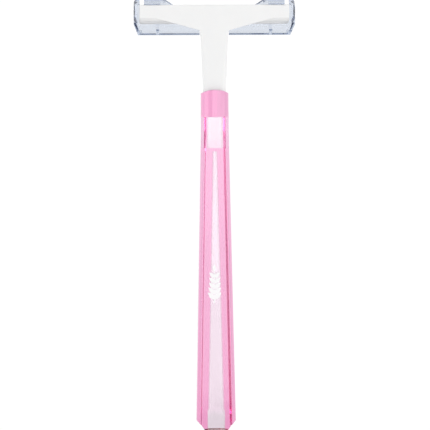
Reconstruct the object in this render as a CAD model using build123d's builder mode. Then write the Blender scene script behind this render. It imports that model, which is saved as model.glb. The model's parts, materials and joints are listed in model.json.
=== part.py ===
from build123d import *
from math import cos, radians, sin
import os

# A two-blade disposable razor, lying on its front with its back up.
# X runs across the head, Y along the handle from the butt to the head, and Z up to the back.
# The origin is under the middle of the razor, on the surface that it lies on.
# Lengths are in millimetres, angles in degrees, and stations are measured from the butt end.

# Whole razor
overall_length = 116.9
butt_y = -overall_length / 2

# Handle: a tapered translucent bar, cored for most of its length, with a round collar at its end
butt_width = 10.7
butt_depth = 8.6
neck_end_width = 7.5
neck_end_depth = 5.9
axis_height = butt_depth / 2
taper_end = 81.0
back_flank_run = 0.95
back_flank_rise = 1.7
front_flank_run = 1.5
front_flank_rise = 2.2
edge_facet = 0.3              # between the back and each flank
long_edge_radius = 0.1
collar_width = 7.5
collar_depth = 7.8
collar_radius = 3.0
collar_shoulder_side = 85.2
collar_shoulder_middle = 84.7
rim_side = 91.2
rim_middle = 92.1
butt_corner_length = 3.0
butt_corner_run = 2.4
butt_step_station = 1.7
butt_step_run = 1.15
butt_step = 0.12
butt_end_chamfer = 0.35

# Handle core from the butt, and the ledge at its mouth
core_butt_width = 4.7
core_butt_depth = 7.0
core_tip_width = 1.35
core_tip_depth = 4.6
core_corner_radius = 0.35
core_length = 75.5
mouth_depth = 7.5
mouth_length = 4.3
mouth_slope_end = 5.8

# Chamber that cores the handle behind its solid collar
chamber_end = 84.8
chamber_width = 4.5
chamber_depth = 4.7
chamber_step = 78.6
chamber_floor = 76.4
chamber_floor_depth = 4.0
chamber_corner = 0.5

# Spigot of the handle, and the socket for it in the neck of the head
spigot_width = 3.0
spigot_depth = 2.8
spigot_corner = 0.5
spigot_end = 99.5
socket_clearance = 0.05
socket_floor = 100.0

# Head: the shaving plane leans back from the handle's axis by this angle
head_tilt = 35.0
bar_half_length = 20.25
bar_top_station = 115.0
bar_bottom_station = 111.6
lip_station = 110.75
back_height = 4.58           # back of the bar above the guard tip
lip_height = 3.18
heel_height = 1.9
guard_radius = 0.45
guard_land = 0.65
guard_drop = 1.1
guard_corner_radius = 1.0
cap_heel = 5.25
gusset_half_width = 16.1
gusset_thickness = 2.1
gusset_fillet = 0.9
back_edge_radius = 0.15

# Neck
neck_head_width = 7.4
neck_head_depth = 4.1
neck_head_station = 107.5
neck_top_station = 110.9
neck_mouth_width = 6.0
neck_mouth_depth = 5.4
neck_mouth_station = 91.0
neck_corner = 1.5

# Blade pack: two blades on a spacer, leaning back from the shaving plane
blade_lean = 22.0
blade_thickness = 0.1
blade_width = 3.0
blade_half_length = 19.1
blade_bevel = 0.3
first_edge = 0.9             # guard tip to the first edge
edge_span = 1.2              # first edge to the second
blade_overhang = 0.65
pack_half_length = 19.3
spacer_front = 1.5
pin_radius = 0.45
pin_hole_radius = 0.5
pin_across = 2.3
pin_depth = 0.7
pin_spacing = 12.5

# Cap over the second blade, and the lubricating strip in it
cap_exposure = 0.5
cap_crown = 0.12
strip_front = 3.3
strip_back = 4.9
strip_half_length = 16.5
strip_floor = -0.32
strip_top = 0.24

# Protective cover, open towards the handle
cover_half_length = 21.8
cover_low = -1.85
cover_high = 7.05
cover_face = 1.4
cover_rim = -3.52
cover_side_wall = 0.95
cover_long_wall = 0.6
cover_face_wall = 0.75
cover_top_clearance = 6.4
cover_face_radius = 0.6
cover_corner_radius = 1.5
cover_corner_run = 1.2
cover_corner_start = 1.5
cover_neck_gap = 0.25
rim_bend = 2.1
tab_rim = -1.05
shoulder_rim = -0.3
tab_inside = 14.6
open_half_width = 10.5
open_low = 4.3
open_flare = 4.2
slot_middle = 19.6
slot_width = 1.2
slot_length = 2.6
neck_notch = -1.2
rib_spot = 15.3
rib_width = 0.8
rib_reach = -0.1             # the ribs end just short of the guard
ledge_inner = 10.3
ledge_outer = 16.6
ledge_reach = -0.8
ledge_height = 0.5
stop_spot = 19.95
stop_height = -1.05
stop_radius = 0.33
stop_length = 0.9


def station(from_butt):
    """Y of a point that lies so far from the butt end."""
    return butt_y + from_butt


def cross_plane(from_butt, height=axis_height):
    """Plane across the handle: its x is X and its y is Z."""
    return Plane(origin=(0, station(from_butt), height), x_dir=(1, 0, 0), z_dir=(0, -1, 0))


# Directions at the head: across runs from the guard to the cap, outward leaves the shaving plane.
across = Vector(0, cos(radians(head_tilt)), sin(radians(head_tilt)))
outward = Vector(0, sin(radians(head_tilt)), -cos(radians(head_tilt)))

# The guard tip is placed so that the cover's top is the far end of the razor
# and the cover's lowest edge lies on the surface.
cover_reach = (cover_high - cover_face_radius) * across.Y
cover_reach += (cover_face - cover_face_radius) * outward.Y + cover_face_radius
cover_dip = (cover_low + cover_face_radius) * across.Z
cover_dip += (cover_face - cover_face_radius) * outward.Z - cover_face_radius
guard_tip = Vector(0, station(overall_length) - cover_reach, -cover_dip)
back_z = guard_tip.Z + back_height

head_section = Plane(origin=guard_tip, x_dir=across, z_dir=(-1, 0, 0))
head_plan = Plane(origin=guard_tip, x_dir=(-1, 0, 0), z_dir=outward)

# The blade pack has its own directions, from the first edge back along the blades.
lean_cos = cos(radians(blade_lean))
lean_sin = sin(radians(blade_lean))
along_blade = across * lean_cos - outward * lean_sin
off_blade = across * lean_sin + outward * lean_cos
pack_origin = guard_tip + across * first_edge
pack_section = Plane(origin=pack_origin, x_dir=along_blade, z_dir=(-1, 0, 0))
pack_plan = Plane(origin=pack_origin, x_dir=(-1, 0, 0), z_dir=off_blade)
second_along = edge_span * lean_cos
second_off = edge_span * lean_sin
pack_back = second_along + blade_width + 0.1
pin_spots = ((-pin_spacing, pin_across), (0, pin_across), (pin_spacing, pin_across))


def at_head(from_butt, above_guard):
    """Point of the head's section, given by its station and its height over the guard tip."""
    step = Vector(0, station(from_butt) - guard_tip.Y, above_guard)
    return (step.dot(across), step.dot(outward))


def at_pack(along, off):
    """Point of the head's section, given in the blade pack's directions."""
    return (first_edge + along * lean_cos + off * lean_sin, off * lean_cos - along * lean_sin)


def flanked_outline(width, depth):
    """Points of the handle's section: a box whose long corners slope to the flanks, more at the front."""
    half_width = width / 2
    half_depth = depth / 2
    right = [
        (half_width - front_flank_run, -half_depth),
        (half_width, front_flank_rise - half_depth),
        (half_width, half_depth - back_flank_rise),
        (half_width - back_flank_run + edge_facet / 2, half_depth - edge_facet / 2),
        (half_width - back_flank_run - edge_facet / 2, half_depth),
    ]
    return right + [(-x, z) for x, z in reversed(right)]


# Collar of the handle: a well rounded sleeve whose two ends are arched
with BuildPart() as collar:
    with BuildSketch(cross_plane(collar_shoulder_middle)):
        RectangleRounded(collar_width, collar_depth, collar_radius)
    extrude(amount=collar_shoulder_middle - rim_middle)
    with BuildSketch(Plane.XY):
        with BuildLine():
            side = collar_width / 2
            ThreePointArc(
                (-side, station(collar_shoulder_side)),
                (0, station(collar_shoulder_middle)),
                (side, station(collar_shoulder_side)),
            )
            Line((side, station(collar_shoulder_side)), (side, station(rim_side)))
            ThreePointArc(
                (side, station(rim_side)),
                (0, station(rim_middle)),
                (-side, station(rim_side)),
            )
            Line((-side, station(rim_side)), (-side, station(collar_shoulder_side)))
        make_face()
    extrude(amount=butt_depth, mode=Mode.INTERSECT)

# Handle
with BuildPart() as handle:
    handle_sections = (
        (0, butt_width, butt_depth),
        (taper_end, neck_end_width, neck_end_depth),
        (collar_shoulder_side + 1, neck_end_width, neck_end_depth),
    )
    for from_butt, width, depth in handle_sections:
        with BuildSketch(cross_plane(from_butt)):
            with BuildLine():
                Polyline(*flanked_outline(width, depth), close=True)
            section = make_face()
            fillet(section.vertices(), long_edge_radius)
    loft(ruled=True)
    add(collar.part)
    # Corners of the butt, each with a small step where the flank ends
    with BuildSketch(Plane.XY):
        with BuildLine():
            half = butt_width / 2
            Polyline(
                (half + 1, station(butt_corner_length)),
                (half, station(butt_corner_length)),
                (half - butt_step_run, station(butt_step_station)),
                (half - butt_step_run - butt_step, station(butt_step_station)),
                (half - butt_corner_run, station(0)),
                (half + 1, station(0)),
                close=True,
            )
        make_face()
        mirror(about=Plane.YZ)
    extrude(amount=butt_depth, mode=Mode.SUBTRACT)
    # Sloping front and back edges of the butt
    butt_faces = handle.faces().filter_by(Axis.Y).group_by(Axis.Y)[0]
    chamfer(butt_faces.edges().filter_by(Axis.X), butt_end_chamfer)
    # Core from the butt
    for from_butt, width, depth in (
        (0, core_butt_width, core_butt_depth),
        (core_length, core_tip_width, core_tip_depth),
    ):
        with BuildSketch(cross_plane(from_butt)):
            RectangleRounded(width, depth, core_corner_radius)
    loft(mode=Mode.SUBTRACT)
    # Deeper mouth of the core, sloping down to it
    for from_butt, depth in ((mouth_length, mouth_depth), (mouth_slope_end, core_butt_depth)):
        with BuildSketch(cross_plane(from_butt)):
            Rectangle(core_butt_width, depth)
    loft(mode=Mode.SUBTRACT)
    with BuildSketch(cross_plane(0)):
        Rectangle(core_butt_width, mouth_depth)
    extrude(amount=-mouth_length, mode=Mode.SUBTRACT)
    # Chamber behind the collar, shallower at its floor
    for from_butt, depth in ((chamber_step, chamber_depth), (chamber_floor, chamber_floor_depth)):
        with BuildSketch(cross_plane(from_butt)):
            RectangleRounded(chamber_width, depth, chamber_corner)
        extrude(amount=from_butt - chamber_end, mode=Mode.SUBTRACT)
    # Spigot for the neck of the head
    with BuildSketch(cross_plane(rim_side)):
        RectangleRounded(spigot_width, spigot_depth, spigot_corner)
    extrude(amount=rim_side - spigot_end)
handle.part.label = "handle"

# Head frame: neck and platform in one moulding
with BuildPart() as head_frame:
    # Bar across the head, from the rounded guard to the flat back
    with BuildSketch(head_section):
        with BuildLine():
            guard_arc = RadiusArc((0, -guard_radius), (guard_radius, 0), guard_radius)
            Polyline(
                guard_arc @ 1,
                (cap_heel, 0),
                (at_head(bar_top_station, back_height)[0] - 0.3, -0.5),
                at_head(bar_top_station, back_height),
                at_head(bar_bottom_station, back_height),
                at_head(lip_station, lip_height),
                at_head(lip_station, heel_height),
                (guard_radius, -guard_drop - 0.1),
                (0.1, -guard_drop + 0.1),
                guard_arc @ 0,
            )
        make_face()
    extrude(amount=bar_half_length, both=True)
    # Triangular gussets that run from the bar into the neck
    with BuildSketch(Plane.XY.offset(back_z)):
        with BuildLine():
            slab = Polyline(
                (0, station(bar_bottom_station) + 1),
                (gusset_half_width, station(bar_bottom_station) + 1),
                (gusset_half_width, station(bar_bottom_station)),
                (neck_head_width / 2, station(neck_head_station) + 0.7),
                (neck_head_width / 2, station(neck_head_station)),
                (0, station(neck_head_station)),
                close=True,
            )
        face = make_face()
        waist = face.vertices().group_by(Axis.Y)[1].sort_by(Axis.X)[-1]
        fillet(waist, gusset_fillet)
        mirror(about=Plane.YZ)
    extrude(amount=-gusset_thickness)
    # Neck
    with BuildSketch(cross_plane(neck_mouth_station)):
        RectangleRounded(neck_mouth_width, neck_mouth_depth, neck_corner)
    with BuildSketch(cross_plane(neck_head_station, back_z - neck_head_depth / 2)):
        RectangleRounded(neck_head_width, neck_head_depth, back_edge_radius)
    loft()
    with BuildSketch(cross_plane(neck_head_station, back_z - neck_head_depth / 2)):
        RectangleRounded(neck_head_width, neck_head_depth, back_edge_radius)
    extrude(amount=neck_head_station - neck_top_station)
    # End of the neck, hollowed to sit on the arched rim of the collar
    with BuildSketch(Plane.XY):
        with BuildLine():
            rim = ThreePointArc(
                (-collar_width / 2, station(rim_side)),
                (0, station(rim_middle)),
                (collar_width / 2, station(rim_side)),
            )
            Polyline(
                rim @ 1,
                (collar_width / 2, station(neck_mouth_station - 1)),
                (-collar_width / 2, station(neck_mouth_station - 1)),
                rim @ 0,
            )
        make_face()
    extrude(amount=butt_depth, mode=Mode.SUBTRACT)
    # Socket in the neck for the spigot of the handle
    with BuildSketch(cross_plane(rim_side)):
        socket_width = spigot_width + 2 * socket_clearance
        socket_depth = spigot_depth + 2 * socket_clearance
        RectangleRounded(socket_width, socket_depth, spigot_corner)
    extrude(amount=rim_side - socket_floor, mode=Mode.SUBTRACT)
    # Pocket for the blade pack: rinsing trough, blade seat, step for the spacer, back wall
    with BuildSketch(head_section):
        with BuildLine():
            Polyline(
                (guard_land, 1),
                (guard_land, -0.2),
                (guard_land + 0.12, -0.7),
                (guard_land + 0.7, -0.72),
                at_pack(blade_overhang, -blade_thickness),
                at_pack(blade_width + 0.1, -blade_thickness),
                at_pack(blade_width + 0.1, second_off - blade_thickness),
                at_pack(pack_back, second_off - blade_thickness),
                (cap_heel + 0.2, -0.35),
                (8, -0.35),
                (8, 1),
                close=True,
            )
        make_face()
    extrude(amount=pack_half_length, both=True, mode=Mode.SUBTRACT)
    # Blind holes for the pins of the cap
    with BuildSketch(pack_plan):
        with Locations(*pin_spots):
            Circle(pin_hole_radius)
    extrude(amount=-blade_thickness - pin_depth, mode=Mode.SUBTRACT)
    # Rounded ends of the guard
    with BuildSketch(head_plan):
        with BuildLine():
            corner = bar_half_length - guard_corner_radius
            RadiusArc((corner, 0), (bar_half_length, guard_corner_radius), -guard_corner_radius)
            Polyline(
                (bar_half_length, guard_corner_radius),
                (bar_half_length + 1, guard_corner_radius),
                (bar_half_length + 1, -1),
                (corner, -1),
                (corner, 0),
            )
        make_face()
        mirror(about=Plane.YZ)
    extrude(amount=1.8, both=True, mode=Mode.SUBTRACT)
    # Softened edges along the top and the ends of the flat back
    back_face = head_frame.faces().filter_by(Plane.XY).sort_by(Axis.Z)[-1]
    fillet(back_face.edges().sort_by(Axis.Y)[-3:], back_edge_radius)
head_frame.part.label = "head_frame"


def blade(along, off):
    """A blade whose edge lies so far along and off the pack's origin, with its pin holes."""
    with BuildPart() as steel:
        with BuildSketch(pack_section):
            with BuildLine():
                Polyline(
                    (along, off - blade_thickness / 2),
                    (along + blade_bevel, off),
                    (along + blade_width, off),
                    (along + blade_width, off - blade_thickness),
                    (along + blade_bevel, off - blade_thickness),
                    close=True,
                )
            make_face()
        extrude(amount=blade_half_length, both=True)
        with BuildSketch(pack_plan):
            with Locations(*pin_spots):
                Circle(pin_hole_radius)
        extrude(amount=1, both=True, mode=Mode.SUBTRACT)
    return steel.part


lower_blade = blade(0, 0)
lower_blade.label = "lower_blade"
upper_blade = blade(second_along, second_off)
upper_blade.label = "upper_blade"

# Spacer between the blades, with slots at its front that let water through
with BuildPart() as blade_spacer:
    with BuildSketch(pack_section):
        with BuildLine():
            Polyline(
                (spacer_front, 0),
                (blade_width, 0),
                (blade_width, second_off - blade_thickness),
                (spacer_front, second_off - blade_thickness),
                close=True,
            )
        make_face()
    extrude(amount=blade_half_length, both=True)
    with BuildSketch(pack_plan):
        with Locations(*pin_spots):
            Circle(pin_hole_radius)
        with GridLocations(3.1, 1, 12, 1):
            with Locations((0, spacer_front)):
                Rectangle(1.6, 0.5)
    extrude(amount=1, mode=Mode.SUBTRACT)
blade_spacer.part.label = "blade_spacer"

# Cap, with a groove for the strip and pins that go through the blades into the frame
with BuildPart() as blade_cap:
    with BuildSketch(head_section):
        with BuildLine():
            nose = at_pack(second_along + cap_exposure, second_off)
            shoulder = (nose[0] + 0.12, 0)
            Line(nose, shoulder)
            ThreePointArc(shoulder, ((nose[0] + cap_heel) / 2, cap_crown), (cap_heel, 0))
            Polyline(
                (cap_heel, 0),
                (cap_heel + 0.6, -0.33),
                (cap_heel + 0.17, -0.33),
                at_pack(pack_back - 0.04, second_off),
                nose,
            )
        make_face()
    extrude(amount=blade_half_length, both=True)
    with BuildSketch(pack_plan.offset(second_off)):
        with Locations(*pin_spots):
            Circle(pin_radius)
    extrude(amount=-second_off - blade_thickness - pin_depth + 0.05)
    with BuildSketch(head_plan.offset(strip_floor)):
        with Locations((0, (strip_front + strip_back) / 2)):
            RectangleRounded(2 * strip_half_length, strip_back - strip_front, 0.3)
    extrude(amount=1, mode=Mode.SUBTRACT)
blade_cap.part.label = "blade_cap"

# Lubricating strip
with BuildPart() as lubricating_strip:
    with BuildSketch(head_plan.offset(strip_floor)):
        with Locations((0, (strip_front + strip_back) / 2)):
            RectangleRounded(2 * strip_half_length, strip_back - strip_front, 0.3)
    extrude(amount=strip_top - strip_floor)
    strip_face = lubricating_strip.faces().sort_by(Axis(guard_tip, outward))[-1]
    fillet(strip_face.edges(), 0.15)
lubricating_strip.part.label = "lubricating_strip"

# Protective cover
with BuildPart() as protective_cover:
    with BuildSketch(head_plan.offset(cover_face)):
        with BuildLine():
            low_half = cover_half_length - cover_corner_run
            Polyline(
                (low_half, cover_low),
                (cover_half_length, cover_corner_start),
                (cover_half_length, cover_high),
                (-cover_half_length, cover_high),
                (-cover_half_length, cover_corner_start),
                (-low_half, cover_low),
                close=True,
            )
        outline = make_face()
        fillet(outline.vertices().group_by(Axis.Y)[-1], cover_corner_radius)
    extrude(amount=cover_rim - cover_face)
    # Cavity for the head
    with BuildSketch(head_plan.offset(cover_face - cover_face_wall)):
        with BuildLine():
            inner_half = cover_half_length - cover_side_wall
            inner_low_half = low_half - 0.45
            Polyline(
                (inner_low_half, cover_low + cover_long_wall),
                (inner_half, cover_corner_start - 0.1),
                (inner_half, cover_top_clearance),
                (-inner_half, cover_top_clearance),
                (-inner_half, cover_corner_start - 0.1),
                (-inner_low_half, cover_low + cover_long_wall),
                close=True,
            )
        cavity = make_face()
        fillet(cavity.vertices().group_by(Axis.Y)[-1], 0.6)
    extrude(amount=-8, mode=Mode.SUBTRACT)
    # Rounded edges around the outside of the face
    outer_face = protective_cover.faces().sort_by(Axis(guard_tip, outward))[-1]
    fillet(outer_face.edges(), cover_face_radius)
    # Back rim: level along the low wall, then sloping up the end walls to the top wall
    with BuildSketch(head_section):
        with BuildLine():
            Polyline(
                (rim_bend, cover_rim),
                (cover_top_clearance - 0.1, tab_rim),
                (cover_high + 1, tab_rim),
                (cover_high + 1, cover_rim - 1),
                (rim_bend, cover_rim - 1),
                close=True,
            )
        make_face()
    extrude(amount=cover_half_length + 1, both=True, mode=Mode.SUBTRACT)
    # Open middle of the top, with sloping ends, and a slot outside each latch tab
    with BuildSketch(head_plan.offset(cover_face)):
        with BuildLine():
            Polyline(
                (-open_half_width, open_low),
                (open_half_width, open_low),
                (open_half_width + open_flare, cover_high + 0.5),
                (-open_half_width - open_flare, cover_high + 0.5),
                close=True,
            )
        make_face()
        with Locations((slot_middle, cover_high), (-slot_middle, cover_high)):
            RectangleRounded(slot_width, 2 * slot_length, 0.4)
    extrude(amount=-8, mode=Mode.SUBTRACT)
    # Shallower part of each latch, beside its tab
    with BuildSketch(head_plan.offset(shoulder_rim)):
        with Locations((0, cover_top_clearance + 1)):
            Rectangle(2 * tab_inside, 2)
    extrude(amount=-8, mode=Mode.SUBTRACT)
    # Notch in the low wall for the neck
    with BuildSketch(head_plan.offset(neck_notch)):
        with Locations((0, cover_low)):
            Rectangle(neck_head_width + 2 * cover_neck_gap, 4)
    extrude(amount=-8, mode=Mode.SUBTRACT)
    # Ribs on the low wall that meet the guard, ledges beside them, and a stop in each low corner
    wall_middle = cover_low + cover_long_wall / 2
    with BuildSketch(head_plan.offset(cover_rim + 0.2)):
        for side in (-1, 1):
            with Locations((side * rib_spot, (wall_middle + rib_reach) / 2)):
                Rectangle(rib_width, rib_reach - wall_middle)
    extrude(amount=cover_face - cover_face_wall - cover_rim)
    with BuildSketch(head_plan.offset(cover_face - cover_face_wall)):
        for side in (-1, 1):
            with Locations((side * (ledge_inner + ledge_outer) / 2, (wall_middle + ledge_reach) / 2)):
                Rectangle(ledge_outer - ledge_inner, ledge_reach - wall_middle)
    extrude(amount=-ledge_height)
    with BuildSketch(head_plan.offset(cover_rim)):
        with Locations((stop_spot, stop_height), (-stop_spot, stop_height)):
            Circle(stop_radius)
    extrude(amount=stop_length)
protective_cover.part.label = "protective_cover"

pieces = (
    handle.part,
    head_frame.part,
    lower_blade,
    blade_spacer.part,
    upper_blade,
    blade_cap.part,
    lubricating_strip.part,
    protective_cover.part,
)
os.makedirs("parts", exist_ok=True)
for piece in pieces:
    export_step(piece, f"parts/{piece.label}.step")
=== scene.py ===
import json
import math

import bpy
from mathutils import Matrix, Vector


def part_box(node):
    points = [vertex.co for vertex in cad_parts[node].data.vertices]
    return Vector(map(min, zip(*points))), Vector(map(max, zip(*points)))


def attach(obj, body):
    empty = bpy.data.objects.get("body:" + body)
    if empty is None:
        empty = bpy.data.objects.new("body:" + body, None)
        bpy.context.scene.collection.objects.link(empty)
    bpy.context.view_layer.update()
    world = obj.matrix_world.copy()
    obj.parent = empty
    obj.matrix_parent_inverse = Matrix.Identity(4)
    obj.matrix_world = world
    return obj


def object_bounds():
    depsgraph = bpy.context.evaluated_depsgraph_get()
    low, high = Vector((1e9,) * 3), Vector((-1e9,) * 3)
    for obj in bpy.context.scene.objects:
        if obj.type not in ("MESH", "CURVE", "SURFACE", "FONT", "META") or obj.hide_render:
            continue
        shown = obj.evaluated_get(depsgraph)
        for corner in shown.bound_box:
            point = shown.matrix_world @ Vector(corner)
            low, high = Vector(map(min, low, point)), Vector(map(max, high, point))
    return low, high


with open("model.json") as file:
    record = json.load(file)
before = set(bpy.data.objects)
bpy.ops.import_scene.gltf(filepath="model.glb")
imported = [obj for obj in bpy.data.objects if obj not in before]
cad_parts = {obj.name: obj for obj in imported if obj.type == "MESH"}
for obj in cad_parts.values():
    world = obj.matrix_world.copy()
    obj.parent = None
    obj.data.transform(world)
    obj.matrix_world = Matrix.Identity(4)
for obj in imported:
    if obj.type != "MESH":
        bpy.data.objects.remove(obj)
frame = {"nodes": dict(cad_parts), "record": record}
cad_low, cad_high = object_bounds()
nodes = frame["nodes"]

# A disposable razor with its back up over a light table. Lengths are in metres.
MM = 0.001

# Camera: nearly square above the back of the razor, far away, with the whole razor in view
VIEW_WIDTH = 116.1 * MM
VIEW_MIDDLE_X = -0.1 * MM
VIEW_MIDDLE_Y = -0.13 * MM
LENS = 400
SENSOR = 36
CAMERA_YAW = math.radians(-2)
CAMERA_ROLL = math.radians(-0.25)
CLIP_NEAR = 0.01
CLIP_FAR = 10

# Print on the flat back of the handle: a plain sprig with its tip towards the head
PRINT_BASE = 34.6 * MM          # from the butt end
PRINT_LENGTH = 10.4 * MM
PRINT_OFFSET = -0.4 * MM        # to the left of the middle
STEM_WIDTH = 0.34 * MM
STEM_BOW = 0.15 * MM
STEM_TAPER = 0.5                # share of its width that the stem loses up to its end
LEAF_PAIRS = 5
LEAF_LENGTH = 2.5 * MM
LEAF_WIDTH = 1.3 * MM
LEAF_ANGLE = math.radians(46)   # from the stem
LEAF_SHRINK = 0.05              # from one pair to the next
LEAF_SWELL = 0.8                # below 1, a leaf is widest before its middle
LEAF_POINT = 0.02               # least width of a leaf, as a share of its greatest
LEAVES_START = 0.12             # along the stem, as the three below
LEAVES_SPAN = 0.78
TIP_START = 0.93
TIP_LENGTH = 0.75 * LEAF_LENGTH
TIP_WIDTH = 0.7 * LEAF_WIDTH
RIBBON_STEPS = 14
INK_GAP = 0.004 * MM
INK_THICKNESS = 0.03 * MM
INK_STEP = 0.002 * MM           # from one ribbon up to the next, so that no two faces coincide

# Noise hardly leaves this range, so a spread of values starts and ends at it
NOISE_LOW = 0.3
NOISE_HIGH = 0.7

# Light table
TABLE_SIZE = 3
TABLE_SHADE = 0.08
TABLE_ROUGHNESS = 0.9
TABLE_GLOW = 0.95

# Light from all around, as shades from the far left (0) over the middle (0.5) to the far right (1)
SKY_LEFT = (0.85, 0.86, 0.88)
SKY_RIGHT = (0.90, 0.90, 0.91)
SKY_BETWEEN = ((0.25, 1.0), (0.5, 0.7), (0.75, 1.0))
SKY_STRENGTH = 0.95

# Lamps with their places, widths and powers, all of one length and facing the razor
LAMPS = (
    ("key", (0.17, 0.05, 0.68), 0.12, 0.5),
    ("left_strip", (-0.52, 0, 0.29), 0.10, 0.3),
    ("right_strip", (0.49, 0, 0.35), 0.10, 0.3),
)
LAMP_LENGTH = 0.5

# Light goes back and forth many times inside the clear plastics
GLOSSY_BOUNCES = 16
TRANSMISSION_BOUNCES = 24
MAX_BOUNCES = 32


# ---------------------------------------------------------------- materials

def new_material(name):
    """A material with a Principled shader, its tree, and the shader."""
    material = bpy.data.materials.new(name)
    material.use_nodes = True
    tree = material.node_tree
    return material, tree, tree.nodes["Principled BSDF"]


def noise(tree, scale, detail=2.0, stretch=(1, 1, 1)):
    """Noise in the object's own coordinates, with a scale in waves per metre."""
    place = tree.nodes.new("ShaderNodeTexCoord")
    mapping = tree.nodes.new("ShaderNodeMapping")
    mapping.inputs["Scale"].default_value = stretch
    texture = tree.nodes.new("ShaderNodeTexNoise")
    texture.inputs["Scale"].default_value = scale
    texture.inputs["Detail"].default_value = detail
    tree.links.new(place.outputs["Object"], mapping.inputs["Vector"])
    tree.links.new(mapping.outputs["Vector"], texture.inputs["Vector"])
    return texture.outputs["Fac"]


def to_range(tree, value, low, high):
    """Noise spread over the range from low to high."""
    spread = tree.nodes.new("ShaderNodeMapRange")
    spread.inputs["From Min"].default_value = NOISE_LOW
    spread.inputs["From Max"].default_value = NOISE_HIGH
    spread.inputs["To Min"].default_value = low
    spread.inputs["To Max"].default_value = high
    tree.links.new(value, spread.inputs["Value"])
    return spread.outputs["Result"]


def mixed(tree, value, first, second):
    """A colour between two colours."""
    mix = tree.nodes.new("ShaderNodeMix")
    mix.data_type = "RGBA"
    mix.inputs["A"].default_value = (*first, 1)
    mix.inputs["B"].default_value = (*second, 1)
    tree.links.new(value, mix.inputs["Factor"])
    return mix.outputs["Result"]


def bumped(tree, shader, height, strength, distance):
    """Small relief on the surface."""
    bump = tree.nodes.new("ShaderNodeBump")
    bump.inputs["Strength"].default_value = strength
    bump.inputs["Distance"].default_value = distance
    tree.links.new(height, bump.inputs["Height"])
    tree.links.new(bump.outputs["Normal"], shader.inputs["Normal"])


def clear(tree, shader, tint, refraction):
    """Lets light through, with a tint that it takes on at each surface."""
    shader.inputs["Base Color"].default_value = (*tint, 1)
    shader.inputs["Transmission Weight"].default_value = 1.0
    shader.inputs["IOR"].default_value = refraction


def absorbing(tree, colour, density):
    """Colour that deepens with the thickness of clear plastic."""
    absorption = tree.nodes.new("ShaderNodeVolumeAbsorption")
    absorption.inputs["Color"].default_value = (*colour, 1)
    absorption.inputs["Density"].default_value = density
    tree.links.new(absorption.outputs["Volume"], tree.nodes["Material Output"].inputs["Volume"])


def pink_plastic():
    """Transparent pink plastic of the handle."""
    material, tree, shader = new_material("pink_plastic")
    clear(tree, shader, tint=(0.87, 0.86, 0.875), refraction=1.49)
    tree.links.new(to_range(tree, noise(tree, 350), 0.03, 0.08), shader.inputs["Roughness"])
    bumped(tree, shader, noise(tree, 180, detail=1.0), strength=0.12, distance=0.02 * MM)
    absorbing(tree, colour=(0.95, 0.12, 0.60), density=128)
    return material


def white_plastic():
    """Satin white plastic of the head."""
    material, tree, shader = new_material("white_plastic")
    shade = mixed(tree, noise(tree, 260), (0.86, 0.86, 0.86), (0.89, 0.89, 0.885))
    tree.links.new(shade, shader.inputs["Base Color"])
    tree.links.new(to_range(tree, noise(tree, 900), 0.33, 0.43), shader.inputs["Roughness"])
    shader.inputs["Subsurface Weight"].default_value = 0.15
    shader.inputs["Subsurface Radius"].default_value = (1.0, 0.95, 0.9)
    shader.inputs["Subsurface Scale"].default_value = 0.6 * MM
    bumped(tree, shader, noise(tree, 6000, detail=3.0), strength=0.10, distance=0.02 * MM)
    return material


def clear_plastic():
    """Clear, faintly blue plastic of the cover."""
    material, tree, shader = new_material("clear_plastic")
    clear(tree, shader, tint=(0.77, 0.805, 0.86), refraction=1.57)
    tree.links.new(to_range(tree, noise(tree, 500), 0.02, 0.06), shader.inputs["Roughness"])
    bumped(tree, shader, noise(tree, 300, detail=1.0), strength=0.10, distance=0.02 * MM)
    absorbing(tree, colour=(0.08, 0.22, 0.48), density=80)
    return material


def steel(name, shade, roughness, relief):
    """Rolled or ground metal with fine lines along X."""
    material, tree, shader = new_material(name)
    lines = noise(tree, 9000, detail=4.0, stretch=(0.02, 1, 1))
    darker = tuple(0.85 * part for part in shade)
    tree.links.new(mixed(tree, lines, darker, shade), shader.inputs["Base Color"])
    shader.inputs["Metallic"].default_value = 1.0
    gloss = to_range(tree, lines, roughness - 0.06, roughness + 0.06)
    tree.links.new(gloss, shader.inputs["Roughness"])
    bumped(tree, shader, lines, strength=relief, distance=0.01 * MM)
    return material


def strip_polymer():
    """Pale matt lubricating strip, slightly grainy."""
    material, tree, shader = new_material("strip_polymer")
    grain = noise(tree, 4000, detail=4.0)
    shade = mixed(tree, grain, (0.62, 0.78, 0.70), (0.76, 0.86, 0.80))
    tree.links.new(shade, shader.inputs["Base Color"])
    tree.links.new(to_range(tree, grain, 0.55, 0.8), shader.inputs["Roughness"])
    shader.inputs["Subsurface Weight"].default_value = 0.1
    shader.inputs["Subsurface Scale"].default_value = 0.3 * MM
    bumped(tree, shader, grain, strength=0.3, distance=0.03 * MM)
    return material


def print_ink():
    """Opaque white ink with the faint mottle of a pad print."""
    material, tree, shader = new_material("print_ink")
    mottle = noise(tree, 5000, detail=3.0)
    shade = mixed(tree, mottle, (0.92, 0.90, 0.91), (0.98, 0.97, 0.98))
    tree.links.new(shade, shader.inputs["Base Color"])
    tree.links.new(to_range(tree, mottle, 0.4, 0.55), shader.inputs["Roughness"])
    bumped(tree, shader, mottle, strength=0.2, distance=0.01 * MM)
    return material


def finish_with(node_names, material):
    """Gives CAD nodes their finish."""
    for name in node_names:
        for place in nodes[name].material_slots:
            place.material = material


# ---------------------------------------------------------------- print

def ribbon(middle, half_width):
    """Pairs of points either side of a curve, both functions of a share from 0 to 1."""
    near = 0.01
    pairs = []
    for step in range(RIBBON_STEPS + 1):
        along = step / RIBBON_STEPS
        point = middle(along)
        ahead = middle(min(along + near, 1)) - middle(max(along - near, 0))
        side = Vector((-ahead.y, ahead.x)).normalized() * half_width(along)
        pairs.append((point + side, point - side))
    return pairs


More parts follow.
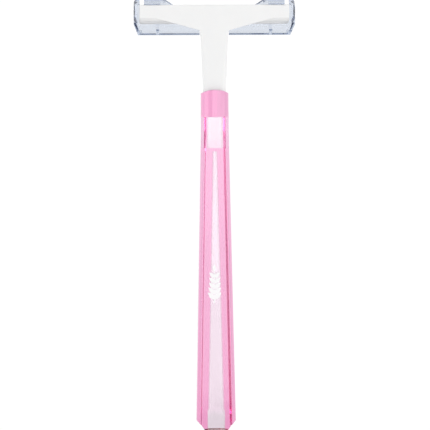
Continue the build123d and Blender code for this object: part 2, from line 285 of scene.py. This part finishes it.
def leaf(root, way, width):
    """Ribbon of a pointed leaf that runs some way from its root."""
    def middle(along):
        return root + way * along

    def half_width(along):
        return width / 2 * max(math.sin(math.pi * along ** LEAF_SWELL), LEAF_POINT)

    return ribbon(middle, half_width)


def sprig_ribbons():
    """Ribbons of a bowed stem, pairs of leaves and one leaf at the tip."""
    base = Vector((PRINT_OFFSET, cad_low.y + PRINT_BASE))

    def stem(along):
        bow = STEM_BOW * math.sin(math.pi * along)
        return base + Vector((bow, along * (PRINT_LENGTH - LEAF_LENGTH / 2)))

    def half_stem(along):
        return STEM_WIDTH / 2 * (1 - STEM_TAPER * along)

    ribbons = [ribbon(stem, half_stem)]
    for pair in range(LEAF_PAIRS):
        size = 1 - LEAF_SHRINK * pair
        root = stem(LEAVES_START + LEAVES_SPAN * pair / LEAF_PAIRS)
        for side in (-1, 1):
            way = Vector((side * math.sin(LEAF_ANGLE), math.cos(LEAF_ANGLE))) * LEAF_LENGTH * size
            ribbons.append(leaf(root, way, LEAF_WIDTH * size))
    ribbons.append(leaf(stem(TIP_START), Vector((0, TIP_LENGTH)), TIP_WIDTH))
    return ribbons


def lay_ink(surface, ribbons, name):
    """A thin closed mesh for each ribbon, laid on the upper side of a CAD piece."""
    points = []
    faces = []
    for layer, pairs in enumerate(ribbons):
        bottom = INK_GAP + layer * INK_STEP
        first = len(points)
        for pair in pairs:
            for lift in (bottom, bottom + INK_THICKNESS):
                for spot in pair:
                    far_above = Vector((spot.x, spot.y, 1))
                    landing, normal = surface.ray_cast(far_above, Vector((0, 0, -1)))[1:3]
                    points.append(landing + lift * normal)
        # Each pair of points has four corners: low left, low right, high left, high right
        for step in range(len(pairs) - 1):
            a = first + 4 * step
            b = a + 4
            faces += [(a + 2, a + 3, b + 3, b + 2), (a + 1, a, b, b + 1)]
            faces += [(a, a + 2, b + 2, b), (a + 3, a + 1, b + 1, b + 3)]
        last = first + 4 * (len(pairs) - 1)
        faces += [(first, first + 1, first + 3, first + 2), (last + 1, last, last + 2, last + 3)]
    mesh = bpy.data.meshes.new(name)
    mesh.from_pydata(points, [], faces)
    mesh.update()
    piece = bpy.data.objects.new(name, mesh)
    bpy.context.scene.collection.objects.link(piece)
    return piece


def sprig_print():
    """White print of a sprig on the handle."""
    piece = lay_ink(nodes["handle"], sprig_ribbons(), "sprig_print")
    piece.data.materials.append(print_ink())
    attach(piece, "razor")


# ---------------------------------------------------------------- stage

def table():
    """Plain pale light table, just low enough for the cover to be pulled off above it."""
    pull = frame["record"]["behaviour"]["joints"][0]
    drop = pull["axis"][2] * pull["range_m"][1]
    bpy.ops.mesh.primitive_plane_add(size=TABLE_SIZE, location=(0, 0, cad_low.z + drop))
    plane = bpy.context.object
    plane.name = "table"
    material, _, shader = new_material("table")
    shader.inputs["Base Color"].default_value = (TABLE_SHADE, TABLE_SHADE, TABLE_SHADE, 1)
    shader.inputs["Roughness"].default_value = TABLE_ROUGHNESS
    shader.inputs["Specular IOR Level"].default_value = 0.0
    shader.inputs["Emission Color"].default_value = (1, 1, 1, 1)
    shader.inputs["Emission Strength"].default_value = TABLE_GLOW
    plane.data.materials.append(material)


def surroundings():
    """Soft light from all around, a little darker straight above the razor and at its two ends."""
    world = bpy.data.worlds.new("studio")
    bpy.context.scene.world = world
    world.use_nodes = True
    tree = world.node_tree
    background = tree.nodes["Background"]
    place = tree.nodes.new("ShaderNodeTexCoord")
    split = tree.nodes.new("ShaderNodeSeparateXYZ")
    ramp = tree.nodes.new("ShaderNodeValToRGB")
    stops = ramp.color_ramp.elements
    stops[0].color = (*SKY_LEFT, 1)
    stops[1].color = (*SKY_RIGHT, 1)
    for position, shade in SKY_BETWEEN:
        stops.new(position).color = (shade, shade, shade, 1)
    share = tree.nodes.new("ShaderNodeMapRange")
    share.inputs["From Min"].default_value = -1
    tree.links.new(place.outputs["Generated"], split.inputs["Vector"])
    tree.links.new(split.outputs["X"], share.inputs["Value"])
    tree.links.new(share.outputs["Result"], ramp.inputs["Fac"])
    tree.links.new(ramp.outputs["Color"], background.inputs["Color"])
    background.inputs["Strength"].default_value = SKY_STRENGTH


def softbox(name, place, width, power):
    """A rectangular lamp at a place, facing the middle of the razor."""
    lamp = bpy.data.lights.new(name, "AREA")
    lamp.shape = "RECTANGLE"
    lamp.size = width
    lamp.size_y = LAMP_LENGTH
    lamp.energy = power
    holder = bpy.data.objects.new(name, lamp)
    holder.location = place
    holder.rotation_euler = (-Vector(place)).to_track_quat("-Z", "Y").to_euler()
    bpy.context.scene.collection.objects.link(holder)


def camera():
    """Camera above the back of the razor, far enough away to see it nearly without perspective."""
    lens = bpy.data.cameras.new("camera")
    lens.lens = LENS
    lens.sensor_width = SENSOR
    lens.clip_start = CLIP_NEAR
    lens.clip_end = CLIP_FAR
    holder = bpy.data.objects.new("camera", lens)
    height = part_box("head_frame")[1].z
    distance = VIEW_WIDTH * LENS / SENSOR
    holder.location = (
        VIEW_MIDDLE_X + distance * math.sin(CAMERA_YAW),
        VIEW_MIDDLE_Y,
        height + distance * math.cos(CAMERA_YAW),
    )
    turn = Matrix.Rotation(CAMERA_YAW, 3, "Y") @ Matrix.Rotation(CAMERA_ROLL, 3, "Z")
    holder.rotation_euler = turn.to_euler()
    bpy.context.scene.collection.objects.link(holder)
    bpy.context.scene.camera = holder
    bpy.context.scene.view_settings.view_transform = "Standard"


def light_paths():
    """Limits on the turns that light takes."""
    paths = bpy.context.scene.cycles
    paths.glossy_bounces = GLOSSY_BOUNCES
    paths.transmission_bounces = TRANSMISSION_BOUNCES
    paths.max_bounces = MAX_BOUNCES


# ---------------------------------------------------------------- the razor on its table

blade_steel = steel("blade_steel", shade=(0.72, 0.73, 0.75), roughness=0.24, relief=0.15)
spacer_strip = steel("spacer_strip", shade=(0.80, 0.80, 0.82), roughness=0.38, relief=0.1)
finish_with(["handle"], pink_plastic())
finish_with(["head_frame", "blade_cap"], white_plastic())
finish_with(["lower_blade", "upper_blade"], blade_steel)
finish_with(["blade_spacer"], spacer_strip)
finish_with(["lubricating_strip"], strip_polymer())
finish_with(["protective_cover"], clear_plastic())
sprig_print()

table()
surroundings()
for name, place, width, power in LAMPS:
    softbox(name, place, width, power)
camera()
light_paths()

bpy.context.view_layer.update()
